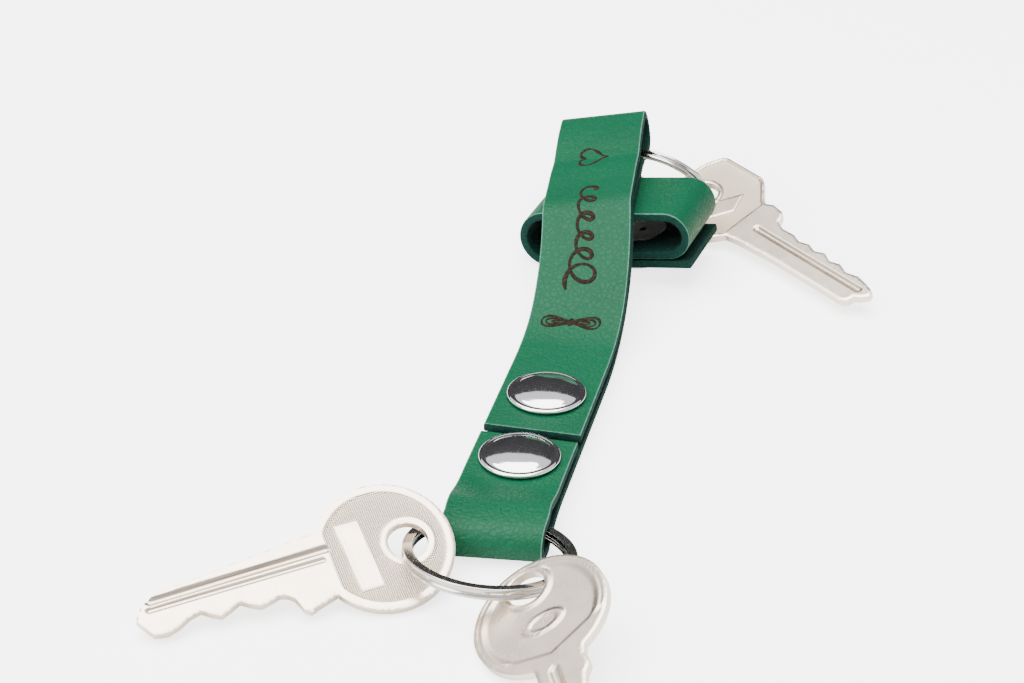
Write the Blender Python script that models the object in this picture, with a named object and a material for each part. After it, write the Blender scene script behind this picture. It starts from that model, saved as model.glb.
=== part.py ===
"""A leather key organiser: a folded strap with two snaps, a short loop rolled under it, two split
rings and three keys.

Every length below is in millimetres and is turned into metres when a mesh is made. The frame is
midway between the two snaps of the strap, on its underside: +Y runs along the strap towards its
back bend, +X is to the right and +Z is up.
"""

import math

import bmesh
import bpy
import numpy as np
from mathutils import Matrix, Vector

MM = 0.001
FRONT_SHIFT = -11.25            # the profiles below measure Y from the front snap

# strap
THICK = 1.7                     # leather
WIDTH = 18.5
GAP = 0.3                       # clearance where two pieces meet
FRONT_GAP = 1.4                 # space between the two layers, filled by the snaps
BACK_GAP = 0.4
SNAP_PITCH = 22.5
FLAP_END = 7.6
TOP_RUN_END = 10.3
BANK = math.radians(10.0)       # the back of the strap leans with the loop under it
BANK_START, BANK_END, BANK_HEIGHT = 40.0, 77.0, 16.0
BOW, BOW_START, BOW_LENGTH = 1.0, -4.0, 18.0
TURN_SLOPE, TURN_START, TURN_LENGTH = -0.105, 35.0, 20.0
FRONT_HINGE = (-20.0, 7.5)      # Y and Z of the fold's top surface
BACK_HINGE = (113.0, 20.2)      # Y and Z of the bend's top surface

# short loop
LOOP_CENTRE = (2.0, 88.5, 8.75)
LOOP_HEADING = math.radians(8.0)
LOOP_TILT = math.radians(10.0)
LOOP_HALF = 6.2                 # half of its height
LOOP_LEFT, LOOP_RIGHT = -14.0, 12.35
LOOP_FLAP_END = 16.8
LOOP_FREE_END = -12.5
LOOP_SNAP = 4.0

# snaps
CAP_R, SOCKET_R, CAVITY_R = 7.5, 5.5, 4.2
STUD_R, KNOB_R, STUD_BORE_R = 4.75, 2.8, 1.8
POST_R, TUBE_R, TUBE_BORE_R = 5.0, 1.5, 0.8
SPRING_R, SPRING_WIRE_R = 3.4, 0.22
POST_HOLE_R, CAP_HOLE_R = 1.85, 2.0
FLANGE_POCKET_R, POCKET_R = 5.4, 5.8

# rings
RING_FRONT = {"centre": (2.2, -31.9, 5.6), "normal": (0.04, 0.16, 0.98), "middle_r": 14.1,
              "radial": 1.8, "tall": 2.1}
RING_BACK = {"centre": (6.62, 110.38, 9.28), "normal": (0.24, 0.76, 0.60), "middle_r": 9.2,
             "radial": 1.5, "tall": 1.8}
RING_CORNER = 0.45
RING_HOLE_CLEARANCE = 0.8

# keys: the hole's centre, the direction to the tip and the upward normal of the flat face
KEY_THICK = 1.8
KEY_ROUND_TEXTURED = {"hole": (-11.7, -33.8, 6.48), "along": (-0.82, -0.57, -0.077),
                      "normal": (0.200, -0.410, 0.890), "hole_r": 3.5, "hole_at": (-0.2, -0.5),
                      "recess": 0.3}
KEY_ROUND_SMOOTH = {"hole": (11.2, -42.65, 7.0), "along": (0.452, -0.890, -0.055),
                    "normal": (-0.41, -0.27, 0.871), "hole_r": 3.5, "hole_at": (0.1, 0.1),
                    "recess": 0.3}
KEY_HEX = {"hole": (14.41, 111.64, 4.57), "along": (0.74, -0.67, -0.01),
           "normal": (-0.20, -0.23, 0.952), "hole_r": 4.2, "hole_at": (0.0, 0.0),
           "recess": 0.6}


for old in list(bpy.data.objects):
    bpy.data.objects.remove(old)


def unit(vector):
    """The vector at length one."""
    vector = np.asarray(vector, float)
    return vector / np.linalg.norm(vector)


def material(name, colour, metallic, roughness):
    """A plain Principled material."""
    made = bpy.data.materials.new(name)
    made.use_nodes = True
    shader = made.node_tree.nodes["Principled BSDF"]
    shader.inputs["Base Color"].default_value = (*colour, 1.0)
    shader.inputs["Metallic"].default_value = metallic
    shader.inputs["Roughness"].default_value = roughness
    made.diffuse_color = (*colour, 1.0)
    return made


def in_build(point):
    """A point measured from the front snap, moved into the build frame."""
    return np.array([point[0], point[1] + FRONT_SHIFT, point[2]])


def make(name, verts, faces, look, origin=(0.0, 0.0, 0.0), smooth=False, hidden=False):
    """An object from points measured from the front snap, with its origin at the given point."""
    colour, metallic, roughness = look
    base = in_build(origin)
    mesh = bpy.data.meshes.new(name)
    moved = [(in_build(v) - base) * MM for v in verts]
    mesh.from_pydata([tuple(v) for v in moved], [], faces)
    work = bmesh.new()
    work.from_mesh(mesh)
    bmesh.ops.recalc_face_normals(work, faces=work.faces)
    work.to_mesh(mesh)
    work.free()
    if smooth:
        mesh.polygons.foreach_set("use_smooth", [True] * len(mesh.polygons))
        mesh.set_sharp_from_angle(angle=math.radians(35.0))
    made = bpy.data.objects.new(name, mesh)
    made.location = tuple(base * MM)
    bpy.context.scene.collection.objects.link(made)
    mesh.materials.append(material(name, colour, metallic, roughness))
    if hidden:
        made.hide_render = True
        made.display_type = "WIRE"
    return made


def boolean(target, cutter, operation="DIFFERENCE"):
    """Cuts or joins with the exact solver."""
    step = target.modifiers.new(cutter.name, "BOOLEAN")
    step.operation = operation
    step.solver = "EXACT"
    step.object = cutter


def smooth_path(points, count):
    """A centripetal-free Catmull-Rom curve through the points, sampled evenly by index."""
    points = np.asarray(points, float)
    padded = np.vstack([2 * points[0] - points[1], points, 2 * points[-1] - points[-2]])
    out = []
    for i in range(len(points) - 1):
        p0, p1, p2, p3 = padded[i:i + 4]
        for t in np.linspace(0.0, 1.0, count, endpoint=False):
            out.append(0.5 * (2 * p1 + (p2 - p0) * t + (2 * p0 - 5 * p1 + 4 * p2 - p3) * t ** 2
                              + (3 * p1 - p0 - 3 * p2 + p3) * t ** 3))
    out.append(points[-1])
    return np.array(out)


def normals_of(path):
    """The left-hand normal of a path in the Y-Z plane at each of its points."""
    step = np.gradient(path, axis=0)
    step /= np.linalg.norm(step, axis=1)[:, None]
    return np.column_stack([-step[:, 1], step[:, 0]])


# ------------------------------------------------------------------ the strap's own bends

def centre_x(y):
    """The strap's centreline: a slight bow at the front and a turn to the left at the back."""
    bow = BOW * np.clip((BOW_START - y) / BOW_LENGTH, 0.0, 1.0) ** 2
    past = y - TURN_START
    turning = TURN_SLOPE * np.clip(past, 0.0, TURN_LENGTH) ** 2 / (2 * TURN_LENGTH)
    return bow + turning + TURN_SLOPE * max(past - TURN_LENGTH, 0.0)


def slope_x(y):
    """How fast the centreline moves sideways along the strap."""
    return (centre_x(y + 0.05) - centre_x(y - 0.05)) / 0.1


def bank(y):
    """How far the strap leans at this station."""
    share = np.clip((y - BANK_START) / (BANK_END - BANK_START), 0.0, 1.0)
    return BANK * share * share * (3 - 2 * share)


def placed(u, y, z):
    """A point u across, y along and z up in a straight strap, where the bent strap has it."""
    across = np.array([1.0, -slope_x(y), 0.0])
    across /= np.linalg.norm(across)
    up = np.array([0.0, 0.0, 1.0])
    lean = bank(y)
    start = np.array([centre_x(y), y, 0.0])
    level = BANK_HEIGHT if lean > 0 else 0.0
    side = math.cos(lean) * across + math.sin(lean) * up
    rise = math.cos(lean) * up - math.sin(lean) * across
    return start + level * up + u * side + (z - level) * rise


def layer(name, path, look, place, origin=(0.0, 0.0, 0.0), width=WIDTH):
    """A strip of leather of even thickness that follows a side-view path, closed at both ends."""
    normals = normals_of(path)
    verts = []
    for (y, z), (ny, nz) in zip(path, normals):
        for u, side in ((-0.5, 0.5), (0.5, 0.5), (0.5, -0.5), (-0.5, -0.5)):
            verts.append(place(u * width, y + side * THICK * ny, z + side * THICK * nz))
    faces = [(0, 1, 2, 3)]
    for i in range(len(path) - 1):
        a = 4 * i
        for k in range(4):
            faces.append((a + k, a + (k + 1) % 4, a + 4 + (k + 1) % 4, a + 4 + k))
    last = 4 * (len(path) - 1)
    faces.append((last, last + 1, last + 2, last + 3))
    return make(name, verts, faces, look, origin)


# ------------------------------------------------------------------ turned and swept pieces

def turned(name, profile, matrix, look, origin, steps=24, hidden=False):
    """A lathe piece: a closed profile of (radius, height), turned about the matrix's Z axis."""
    verts, rings = [], []
    for radius, height in profile:
        if radius < 1e-6:
            rings.append([len(verts)])
            verts.append(matrix @ Vector((0.0, 0.0, height)))
            continue
        rings.append(list(range(len(verts), len(verts) + steps)))
        for k in range(steps):
            turn = 2 * math.pi * k / steps
            verts.append(matrix @ Vector((radius * math.cos(turn), radius * math.sin(turn), height)))
    faces = []
    closed = profile[0][0] > 1e-6
    pairs = list(zip(rings, rings[1:] + rings[:1])) if closed else list(zip(rings, rings[1:]))
    for low, high in pairs:
        for k in range(steps):
            after = (k + 1) % steps
            if len(low) == 1:
                faces.append((low[0], high[k], high[after]))
            elif len(high) == 1:
                faces.append((low[k], low[after], high[0]))
            else:
                faces.append((low[k], low[after], high[after], high[k]))
    return make(name, verts, faces, look, origin, smooth=True, hidden=hidden)


def basis(origin, x_axis, z_axis):
    """A matrix whose columns are the given X direction, the matching Y and the given Z direction."""
    z_dir = unit(z_axis)
    x_dir = unit(np.asarray(x_axis, float) - np.dot(x_axis, z_dir) * z_dir)
    y_dir = np.cross(z_dir, x_dir)
    made = Matrix.Identity(4)
    for row in range(3):
        made[row][0], made[row][1], made[row][2] = x_dir[row], y_dir[row], z_dir[row]
        made[row][3] = origin[row]
    return made


def box(name, matrix, low, high, hidden=True):
    """A block between two corners of the matrix's frame, used as a cutter."""
    corners = [(x, y, z) for z in (low[2], high[2]) for x, y in
               ((low[0], low[1]), (high[0], low[1]), (high[0], high[1]), (low[0], high[1]))]
    verts = [matrix @ Vector(c) for c in corners]
    faces = [(0, 1, 2, 3), (4, 5, 6, 7), (0, 1, 5, 4), (1, 2, 6, 5), (2, 3, 7, 6), (3, 0, 4, 7)]
    return make(name, verts, faces, STEEL, hidden=hidden)


def ring_profile(ring, grow=0.0, corner=RING_CORNER):
    """The ring's cross-section: a rectangle with its four corners cut off."""
    half_r, half_t = ring["radial"] / 2 + grow, ring["tall"] / 2 + grow
    mid = ring["middle_r"]
    return [(mid + r * half_r - r * cr, t * half_t - t * ct) for r, t, cr, ct in
            ((1, -1, corner, 0), (1, -1, 0, corner), (1, 1, 0, corner), (1, 1, corner, 0),
             (-1, 1, corner, 0), (-1, 1, 0, corner), (-1, -1, 0, corner), (-1, -1, corner, 0))]


LEATHER = ((0.05, 0.26, 0.15), 0.0, 0.6)
NICKEL = ((0.78, 0.77, 0.74), 1.0, 0.22)
STEEL = ((0.62, 0.62, 0.62), 1.0, 0.3)


# ------------------------------------------------------------------ snaps

def snap(name, matrix, cap_origin, base_origin, at):
    """The five metal pieces of one snap, stacked along the matrix's Z axis.

    `at` gives the heights: the post's flange and tube top, the stud's base and knob top, the
    spring, the socket's rim and plate, and the cap's stem end and underside.
    """
    flange, tube = at["flange"], at["tube_top"]
    turned(name + "_post", [(TUBE_BORE_R, flange), (POST_R, flange), (POST_R, flange + 0.45),
                            (TUBE_R, flange + 0.5), (TUBE_R, tube), (TUBE_BORE_R, tube)],
           matrix, STEEL, base_origin, steps=16)
    base, knob = at["stud_base"], at["knob_top"]
    turned(name + "_stud", [(STUD_BORE_R, base), (STUD_R, base), (STUD_R, base + 0.4),
                            (KNOB_R - 0.2, base + 0.45), (KNOB_R, (base + knob) / 2 + 0.1),
                            (KNOB_R - 0.25, knob), (STUD_BORE_R, knob)],
           matrix, STEEL, base_origin)
    middle, wire = at["spring"], SPRING_WIRE_R
    turned(name + "_spring", [(SPRING_R + wire * math.cos(turn), middle + wire * math.sin(turn))
                              for turn in np.arange(6) * math.pi / 3],
           matrix, STEEL, cap_origin)
    rim, plate = at["socket_rim"], at["socket_plate"]
    turned(name + "_socket", [(0.0, plate), (CAVITY_R, plate), (CAVITY_R, rim), (SOCKET_R - 0.2, rim),
                              (SOCKET_R, rim + 0.2), (SOCKET_R, plate), (SOCKET_R - 0.3, plate + 0.25),
                              (0.0, plate + 0.25)],
           matrix, STEEL, cap_origin)
    stem, under = at["stem_end"], at["cap_under"]
    dome = [(CAP_R - 0.45, 0.0), (CAP_R - 0.1, 0.12), (CAP_R, 0.42), (CAP_R - 0.12, 0.72),
            (CAP_R - 0.5, 0.84), (CAP_R - 0.95, 0.80), (5.6, 1.15), (4.2, 1.52), (2.6, 1.78),
            (1.2, 1.88), (0.0, 1.9)]
    turned(name + "_cap", [(0.0, stem), (1.7, stem), (1.7, under)]
           + [(radius, under + height) for radius, height in dome],
           matrix, NICKEL, cap_origin)


def snap_cut(name, matrix, target, profile):
    """Cuts a snap's hole, and the seat its disc lies in, from one piece of leather."""
    cutter = turned("cut_" + name, profile, matrix, STEEL, (0.0, 0.0, 0.0), steps=24, hidden=True)
    boolean(target, cutter)


# ------------------------------------------------------------------ strap

fold = [(-20.15, 6.65), (-21.5, 6.67), (-23.1, 6.6), (-24.7, 6.4), (-26.05, 5.7), (-26.9, 4.55),
        (-27.05, 3.3), (-26.7, 2.2), (-25.7, 1.35), (-24.5, 0.95), (-23.0, 0.85), (-14.0, 0.85)]
middle = np.array([(38.0, 2.4), (43.0, 2.65), (48.0, 3.75), (54.0, 5.9), (61.0, 8.9), (68.0, 12.1),
                   (74.0, 15.1), (77.2, 16.6), (82.0, 16.8), (88.0, 16.45), (97.0, 15.95)])
middle = smooth_path(middle, 3)
share = np.clip((middle[:, 0] - 38.0) / 16.0, 0.0, 1.0)
space = FRONT_GAP + (BACK_GAP - FRONT_GAP) * share * share * (3 - 2 * share)
offset = ((space + THICK) / 2)[:, None] * normals_of(middle)
share = np.clip((middle[:, 0] - 80.0) / 14.0, 0.0, 1.0)
over = np.column_stack([0.0 * share, 0.85 * share * share * (3 - 2 * share)])
lower_bend = [(100.5, 14.75), (104.5, 14.1), (108.0, 13.1), (111.4, 12.45), (114.6, 12.35),
              (116.9, 13.2), (118.0, 15.85), (116.9, 18.5), (114.9, 19.3), (113.15, 19.35)]
upper_bend = [(112.85, 19.35), (108.0, 19.2), (103.5, 18.75), (100.0, 18.2)]

lower_path = np.vstack([smooth_path(fold, 3), [(-2.0, 0.85), (12.0, 0.85), (27.0, 0.85)],
                        middle - offset, smooth_path(lower_bend, 3)])
upper_path = np.vstack([smooth_path(upper_bend, 3), (middle + offset + over)[::-1],
                        [(30.0, 3.95), (TOP_RUN_END, 3.95)]])
flap_path = smooth_path([(-19.85, 6.65), (-17.5, 6.4), (-14.5, 5.5), (-11.5, 4.55), (-8.5, 4.05),
                         (-6.5, 3.95), (FLAP_END, 3.95)], 3)

flap_origin = placed(0.0, *FRONT_HINGE)
run_origin = placed(0.0, *BACK_HINGE)
base_origin = (0.0, 0.0, 0.0)
lower_run = layer("strap_lower_run", lower_path, LEATHER, placed)
top_run = layer("strap_top_run", upper_path, LEATHER, placed, run_origin)
front_flap = layer("strap_front_flap", flap_path[::-1], LEATHER, placed, flap_origin)

MAIN_SNAP = {"flange": 0.05, "tube_top": 2.9, "stud_base": 2.0, "knob_top": 3.05, "spring": 2.92,
             "socket_rim": 2.75, "socket_plate": 3.35, "stem_end": 4.0, "cap_under": 5.05}
SEAT = 0.85
SOCKET_SEAT = 3.9
for where, y, piece, origin in (("front", 0.0, front_flap, flap_origin),
                                ("back", SNAP_PITCH, top_run, run_origin)):
    stack = basis((0.0, y, 0.0), (1, 0, 0), (0, 0, 1))
    snap_cut(where + "_post", stack, lower_run,
             [(0.0, -1.0), (FLANGE_POCKET_R, -1.0), (FLANGE_POCKET_R, SEAT), (POST_HOLE_R, SEAT),
              (POST_HOLE_R, THICK + 0.7), (0.0, THICK + 0.7)])
    snap_cut(where + "_cap", stack, piece,
             [(0.0, 2.6), (POCKET_R, 2.6), (POCKET_R, SOCKET_SEAT), (CAP_HOLE_R, SOCKET_SEAT),
              (CAP_HOLE_R, 5.6), (0.0, 5.6)])
    snap("snap_" + where, stack, origin, base_origin, MAIN_SNAP)

# ------------------------------------------------------------------ short loop

loop_u = (math.cos(LOOP_HEADING) * math.cos(LOOP_TILT), -math.sin(LOOP_HEADING) * math.cos(LOOP_TILT),
          math.sin(LOOP_TILT))
loop_v = (math.sin(LOOP_HEADING), math.cos(LOOP_HEADING), 0.0)
loop_w = np.cross(loop_u, loop_v)
loop_frame = basis(LOOP_CENTRE, loop_u, loop_w)


def in_loop(across, u, w):
    """A point of the short loop: u along it, across it and w up, in its tilted frame."""
    return loop_frame @ Vector((u, across, w))


half = THICK / 2
top_w = LOOP_HALF - half
flap_w = -LOOP_HALF + half
floor_w = flap_w + THICK + BACK_GAP
right_r = (top_w - floor_w) / 2
left_turns = np.radians(np.linspace(90.0, 262.0, 15))
right_turns = np.radians(np.linspace(-90.0, 90.0, 15))
body_path = ([(LOOP_FREE_END, floor_w), (-6.0, floor_w)]
             + [(LOOP_RIGHT + right_r * math.cos(t), (top_w + floor_w) / 2 + right_r * math.sin(t))
                for t in right_turns]
             + [(0.0, top_w)]
             + [(LOOP_LEFT + top_w * math.cos(t), top_w * math.sin(t)) for t in left_turns])
flap_loop_path = [(LOOP_LEFT + 0.3, flap_w), (-6.0, flap_w), (LOOP_FLAP_END, flap_w)]
loop_flap_origin = in_loop(0.0, LOOP_LEFT, -LOOP_HALF)
loop_body = layer("short_loop_body", np.array(body_path), LEATHER, in_loop, LOOP_CENTRE)
loop_flap = layer("short_loop_flap", np.array(flap_loop_path), LEATHER, in_loop, loop_flap_origin)

down = basis(in_loop(0.0, LOOP_SNAP, 0.0), loop_u, -loop_w)
LOOP_SNAP_AT = {"flange": 1.6, "tube_top": 4.3, "stud_base": 3.5, "knob_top": 4.5, "spring": 4.38,
                "socket_rim": 4.2, "socket_plate": 4.8, "stem_end": 5.4, "cap_under": 6.5}
floor_top, flap_top = -(floor_w + half), -(flap_w + half)
snap_cut("loop_post", down, loop_body,
         [(0.0, floor_top - 1.0), (POST_HOLE_R, floor_top - 1.0), (POST_HOLE_R, floor_top + SEAT),
          (POCKET_R, floor_top + SEAT), (POCKET_R, floor_top + 2.0), (0.0, floor_top + 2.0)])
snap_cut("loop_cap", down, loop_flap,
         [(0.0, flap_top - 0.3), (POCKET_R, flap_top - 0.3), (POCKET_R, flap_top + SEAT),
          (CAP_HOLE_R, flap_top + SEAT), (CAP_HOLE_R, flap_top + 2.6), (0.0, flap_top + 2.6)])
snap("snap_loop", down, loop_flap_origin, LOOP_CENTRE, LOOP_SNAP_AT)

# ------------------------------------------------------------------ rings

for name, ring, steps in (("split_ring_front", RING_FRONT, 64), ("split_ring_back", RING_BACK, 48)):
    turned(name, ring_profile(ring), basis(ring["centre"], (1, 0, 0), ring["normal"]), STEEL,
           ring["centre"], steps=steps)
ring_path = turned("cut_ring_path", ring_profile(RING_BACK, RING_HOLE_CLEARANCE, 0.6),
                   basis(RING_BACK["centre"], (1, 0, 0), RING_BACK["normal"]), STEEL,
                   (0.0, 0.0, 0.0), steps=40, hidden=True)
boolean(lower_run, ring_path)

# ------------------------------------------------------------------ keys


def arc(centre, radius, start, end, count):
    """Points of an arc, in degrees from the key's along direction."""
    turns = np.radians(np.linspace(start, end, count))
    return [(centre[0] + radius * math.cos(t), centre[1] + radius * math.sin(t)) for t in turns]


def key(name, place, outline, head, recess_r, boss, groove):
    """A flat key: its outline, the hole at the origin, a recess with a boss and a blade groove."""
    matrix = basis(place["hole"], place["along"], place["normal"])
    verts = []
    for z in (-KEY_THICK / 2, KEY_THICK / 2):
        verts += [matrix @ Vector((a, b, z)) for a, b in outline]
    count = len(outline)
    faces = [tuple(range(count)), tuple(range(count, 2 * count))]
    faces += [(k, (k + 1) % count, count + (k + 1) % count, count + k) for k in range(count)]
    made = make(name, verts, faces, NICKEL, place["hole"])
    top = KEY_THICK / 2
    floor = top - place["recess"]
    seat = matrix @ Matrix.Translation((head[0], head[1], 0.0))
    recess = turned(f"cut_{name}_recess", [(0.0, floor), (recess_r, floor),
                                           (recess_r, top + 1.0), (0.0, top + 1.0)],
                    seat, STEEL, (0.0, 0.0, 0.0), steps=32, hidden=True)
    boolean(made, recess)
    boss_at = matrix @ Matrix.Translation((boss[0], boss[1], 0.0)) @ Matrix.Diagonal((1.0, boss[3], 1.0, 1.0))
    raised = turned(f"join_{name}_boss", [(0.0, 0.0), (boss[2], 0.0), (boss[2], top - 0.05),
                                          (boss[2] * 0.8, top), (0.0, top)],
                    boss_at, NICKEL, (0.0, 0.0, 0.0), steps=20, hidden=True)
    boolean(made, raised, "UNION")
    radius = place["hole_r"]
    hole = turned(f"cut_{name}_hole", [(0.0, -2.0), (radius, -2.0), (radius, 2.0), (0.0, 2.0)],
                  matrix @ Matrix.Translation((*place["hole_at"], 0.0)), STEEL, (0.0, 0.0, 0.0),
                  steps=32, hidden=True)
    boolean(made, hole)
    (a0, b0), (a1, b1), wide = groove
    turn = math.atan2(b1 - b0, a1 - a0)
    run = math.hypot(a1 - a0, b1 - b0)
    slot = box(f"cut_{name}_groove", matrix @ Matrix.Translation((a0, b0, 0.0))
               @ Matrix.Rotation(turn, 4, "Z"), (0.0, -wide / 2, top - 0.5), (run, wide / 2, top + 1.0))
    boolean(made, slot)


textured_outline = (arc((4.0, -0.8), 12.1, 31.0, 329.0, 44)
                    + [(43.4, -4.2), (46.0, -2.7), (47.6, -0.3), (45.5, 3.1), (43.3, 3.5), (41.0, 2.8),
                       (39.0, 1.7), (37.0, 1.2), (35.4, 2.4), (33.9, 3.2), (32.0, 2.4), (30.3, 1.6),
                       (28.7, 2.7), (27.1, 3.5), (25.3, 3.1), (23.6, 2.6), (22.4, 3.0), (21.4, 3.9),
                       (20.6, 6.3), (19.6, 7.2), (18.3, 6.6)])
smooth_outline = (arc((7.2, 0.7), 12.2, 24.0, 339.0, 44)
                  + [(38.0, -4.2), (43.0, -3.7), (45.5, -1.2), (45.2, 0.4), (42.6, 1.9), (40.4, 3.4),
                     (38.0, 1.8), (35.6, 3.3), (33.2, 2.0), (30.8, 3.4), (28.6, 2.2), (26.6, 3.4),
                     (24.4, 4.0), (22.9, 5.2), (20.0, 5.1)])
hex_outline = [(-7.6, 5.6), (-7.4, 7.6), (-5.9, 11.4), (-4.4, 12.2), (6.9, 12.2), (8.4, 11.6),
               (13.3, 7.4), (14.6, 6.8), (16.2, 7.6), (19.8, 7.1), (20.9, 5.9), (21.5, 4.4), (24.2, 3.5),
               (27.5, 3.7), (30.0, 2.9), (32.5, 3.6), (35.0, 2.8), (37.5, 3.7), (40.0, 2.6), (42.6, 3.3),
               (45.5, 2.3), (48.5, 3.0), (51.7, 2.4), (54.3, 1.6), (54.8, 0.2), (53.4, -1.2),
               (52.4, -1.7), (52.2, -3.4), (50.9, -4.2), (40.0, -4.2),
               (29.0, -4.3), (18.5, -4.9), (15.4, -5.4), (14.0, -7.0), (12.8, -8.4), (9.0, -9.8),
               (7.4, -10.2), (-4.4, -10.2), (-5.9, -9.5), (-7.6, -3.6)]
key("key_round_textured", KEY_ROUND_TEXTURED, textured_outline, (4.0, -0.8), 10.7,
    (8.6, -0.6, 2.2, 2.9), ((13.2, -3.3), (44.8, -2.4), 1.3))
key("key_round_smooth", KEY_ROUND_SMOOTH, smooth_outline, (7.2, 0.7), 10.7,
    (9.6, 0.7, 1.7, 2.4), ((19.9, -0.5), (42.5, -0.8), 1.5))
key("key_hex", KEY_HEX, hex_outline, (3.4, 1.0), 8.4,
    (7.6, 1.0, 1.8, 1.8), ((18.9, 0.2), (52.0, 0.3), 1.4))
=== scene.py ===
# %% [markdown]
# # A green leather key organiser
#
# One long strip of leather is folded at both ends and held by two snaps. A short rolled loop with a
# snap of its own lies under its back half. A split ring with two keys hangs in the front fold, and a
# smaller ring with a third key hangs in the back bend. The script loads the solid model as a fixed
# frame and builds the finished surfaces around it, one step to a cell.

# %% Load the frame
import math

import bmesh
import bpy
import numpy as np
from mathutils import Matrix, Vector
from mathutils.geometry import delaunay_2d_cdt


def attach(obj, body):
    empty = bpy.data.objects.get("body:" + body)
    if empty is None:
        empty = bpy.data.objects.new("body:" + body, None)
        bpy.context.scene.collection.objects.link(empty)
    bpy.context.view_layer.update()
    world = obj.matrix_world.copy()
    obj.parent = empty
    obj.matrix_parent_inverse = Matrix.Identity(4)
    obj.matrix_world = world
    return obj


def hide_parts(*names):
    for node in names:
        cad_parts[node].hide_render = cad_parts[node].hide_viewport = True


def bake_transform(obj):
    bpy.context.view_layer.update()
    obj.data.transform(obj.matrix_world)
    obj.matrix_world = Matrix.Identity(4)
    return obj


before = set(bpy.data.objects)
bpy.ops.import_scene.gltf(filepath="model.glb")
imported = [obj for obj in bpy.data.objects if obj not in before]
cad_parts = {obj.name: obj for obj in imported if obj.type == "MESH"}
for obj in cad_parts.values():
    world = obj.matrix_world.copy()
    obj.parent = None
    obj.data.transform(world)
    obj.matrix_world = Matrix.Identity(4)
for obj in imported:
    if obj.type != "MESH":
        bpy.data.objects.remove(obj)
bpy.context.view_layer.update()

MM = 0.001

# %% [markdown]
# ## Camera, table and light
#
# The object lies on a pale table under a broad overhead softbox, with a smaller one at the front left
# and a bright room round them. Polished caps look like metal only when they have something dark to
# reflect, so a dark flag stands behind the object. It is out of the main view, but a view from behind
# looks at the flag's back and can't see the object. Part of the table's whiteness is an emission that
# only the camera sees: it lights nothing, so the object's own light comes from the softboxes and the
# room alone. The camera looks down by about 30 degrees from the front right.

# %% Camera, table, flag and lamps
CAMERA_AT = (0.0858, -0.3829, 0.2494)
CAMERA_AIM = (-0.0129, 0.0377, 0.0)
CAMERA_LENS = 87.9
TABLE_GLOW = 3.0         # seen by the camera only
TABLE_REACH = 3.0
FLAG_Y, FLAG_HALF, FLAG_TALL = 0.62, 1.6, 0.56


def aim(thing, start, target):
    """Puts a camera or lamp at start, with its -Z axis on the target and its Y axis upwards."""
    thing.location = start
    thing.rotation_euler = (Vector(target) - Vector(start)).to_track_quat("-Z", "Y").to_euler()


def link(thing):
    bpy.context.scene.collection.objects.link(thing)
    return thing


camera = link(bpy.data.objects.new("camera", bpy.data.cameras.new("camera")))
camera.data.lens = CAMERA_LENS
camera.data.sensor_width = 36.0
camera.data.clip_start = 0.01
aim(camera, CAMERA_AT, CAMERA_AIM)
bpy.context.scene.camera = camera


def plain(name, colour, roughness, emission=0.0):
    """A Principled material of one colour, for the stage only. Its emission shows to the camera alone."""
    made = bpy.data.materials.new(name)
    made.use_nodes = True
    shader = made.node_tree.nodes["Principled BSDF"]
    shader.inputs["Base Color"].default_value = (*colour, 1.0)
    shader.inputs["Roughness"].default_value = roughness
    shader.inputs["Specular IOR Level"].default_value = 0.2
    shader.inputs["Emission Color"].default_value = (*colour, 1.0)
    if emission:
        seen = made.node_tree.nodes.new("ShaderNodeLightPath").outputs["Is Camera Ray"]
        glow = made.node_tree.nodes.new("ShaderNodeMath")
        glow.operation = "MULTIPLY"
        glow.inputs[1].default_value = emission
        made.node_tree.links.new(seen, glow.inputs[0])
        made.node_tree.links.new(glow.outputs[0], shader.inputs["Emission Strength"])
    return made


def panel(name, corners, look):
    """One flat four-sided panel of the stage."""
    mesh = bpy.data.meshes.new(name)
    mesh.from_pydata(corners, [], [(0, 1, 2, 3)])
    made = link(bpy.data.objects.new(name, mesh))
    mesh.materials.append(look)
    return made


panel("table", [(-TABLE_REACH, -TABLE_REACH, 0), (TABLE_REACH, -TABLE_REACH, 0),
                (TABLE_REACH, TABLE_REACH, 0), (-TABLE_REACH, TABLE_REACH, 0)],
      plain("table_white", (0.93, 0.93, 0.935), 0.6, TABLE_GLOW))
panel("flag", [(-FLAG_HALF, FLAG_Y, 0.0), (FLAG_HALF, FLAG_Y, 0.0), (FLAG_HALF, FLAG_Y, FLAG_TALL),
               (-FLAG_HALF, FLAG_Y, FLAG_TALL)], plain("flag_black", (0.012, 0.012, 0.014), 0.9))


def lamp(name, start, target, size, watts, colour=(1.0, 1.0, 1.0)):
    """A square softbox."""
    light = bpy.data.lights.new(name, "AREA")
    light.shape = "RECTANGLE"
    light.size, light.size_y = size
    light.energy = watts
    light.color = colour
    made = link(bpy.data.objects.new(name, light))
    aim(made, start, target)


lamp("overhead", (-0.15, -0.05, 1.1), (0.0, 0.0, 0.0), (1.5, 1.2), 44.0, (1.0, 0.99, 0.97))
lamp("front_left", (-0.9, -0.9, 0.7), (0.0, 0.0, 0.0), (0.8, 0.8), 16.0, (0.97, 0.98, 1.0))
world = bpy.data.worlds.new("studio")
world.use_nodes = True
world.node_tree.nodes["Background"].inputs["Color"].default_value = (0.93, 0.95, 1.0, 1.0)
world.node_tree.nodes["Background"].inputs["Strength"].default_value = 1.2
bpy.context.scene.world = world

# %% [markdown]
# ## The strap's path
#
# The strap is a strip of even thickness. Its side view is a curve, and the whole strip then turns a
# little to the left and leans over the short loop. `placed` carries a point of the straight strap to
# where the bent strap has it, for whole arrays at once.

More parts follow.
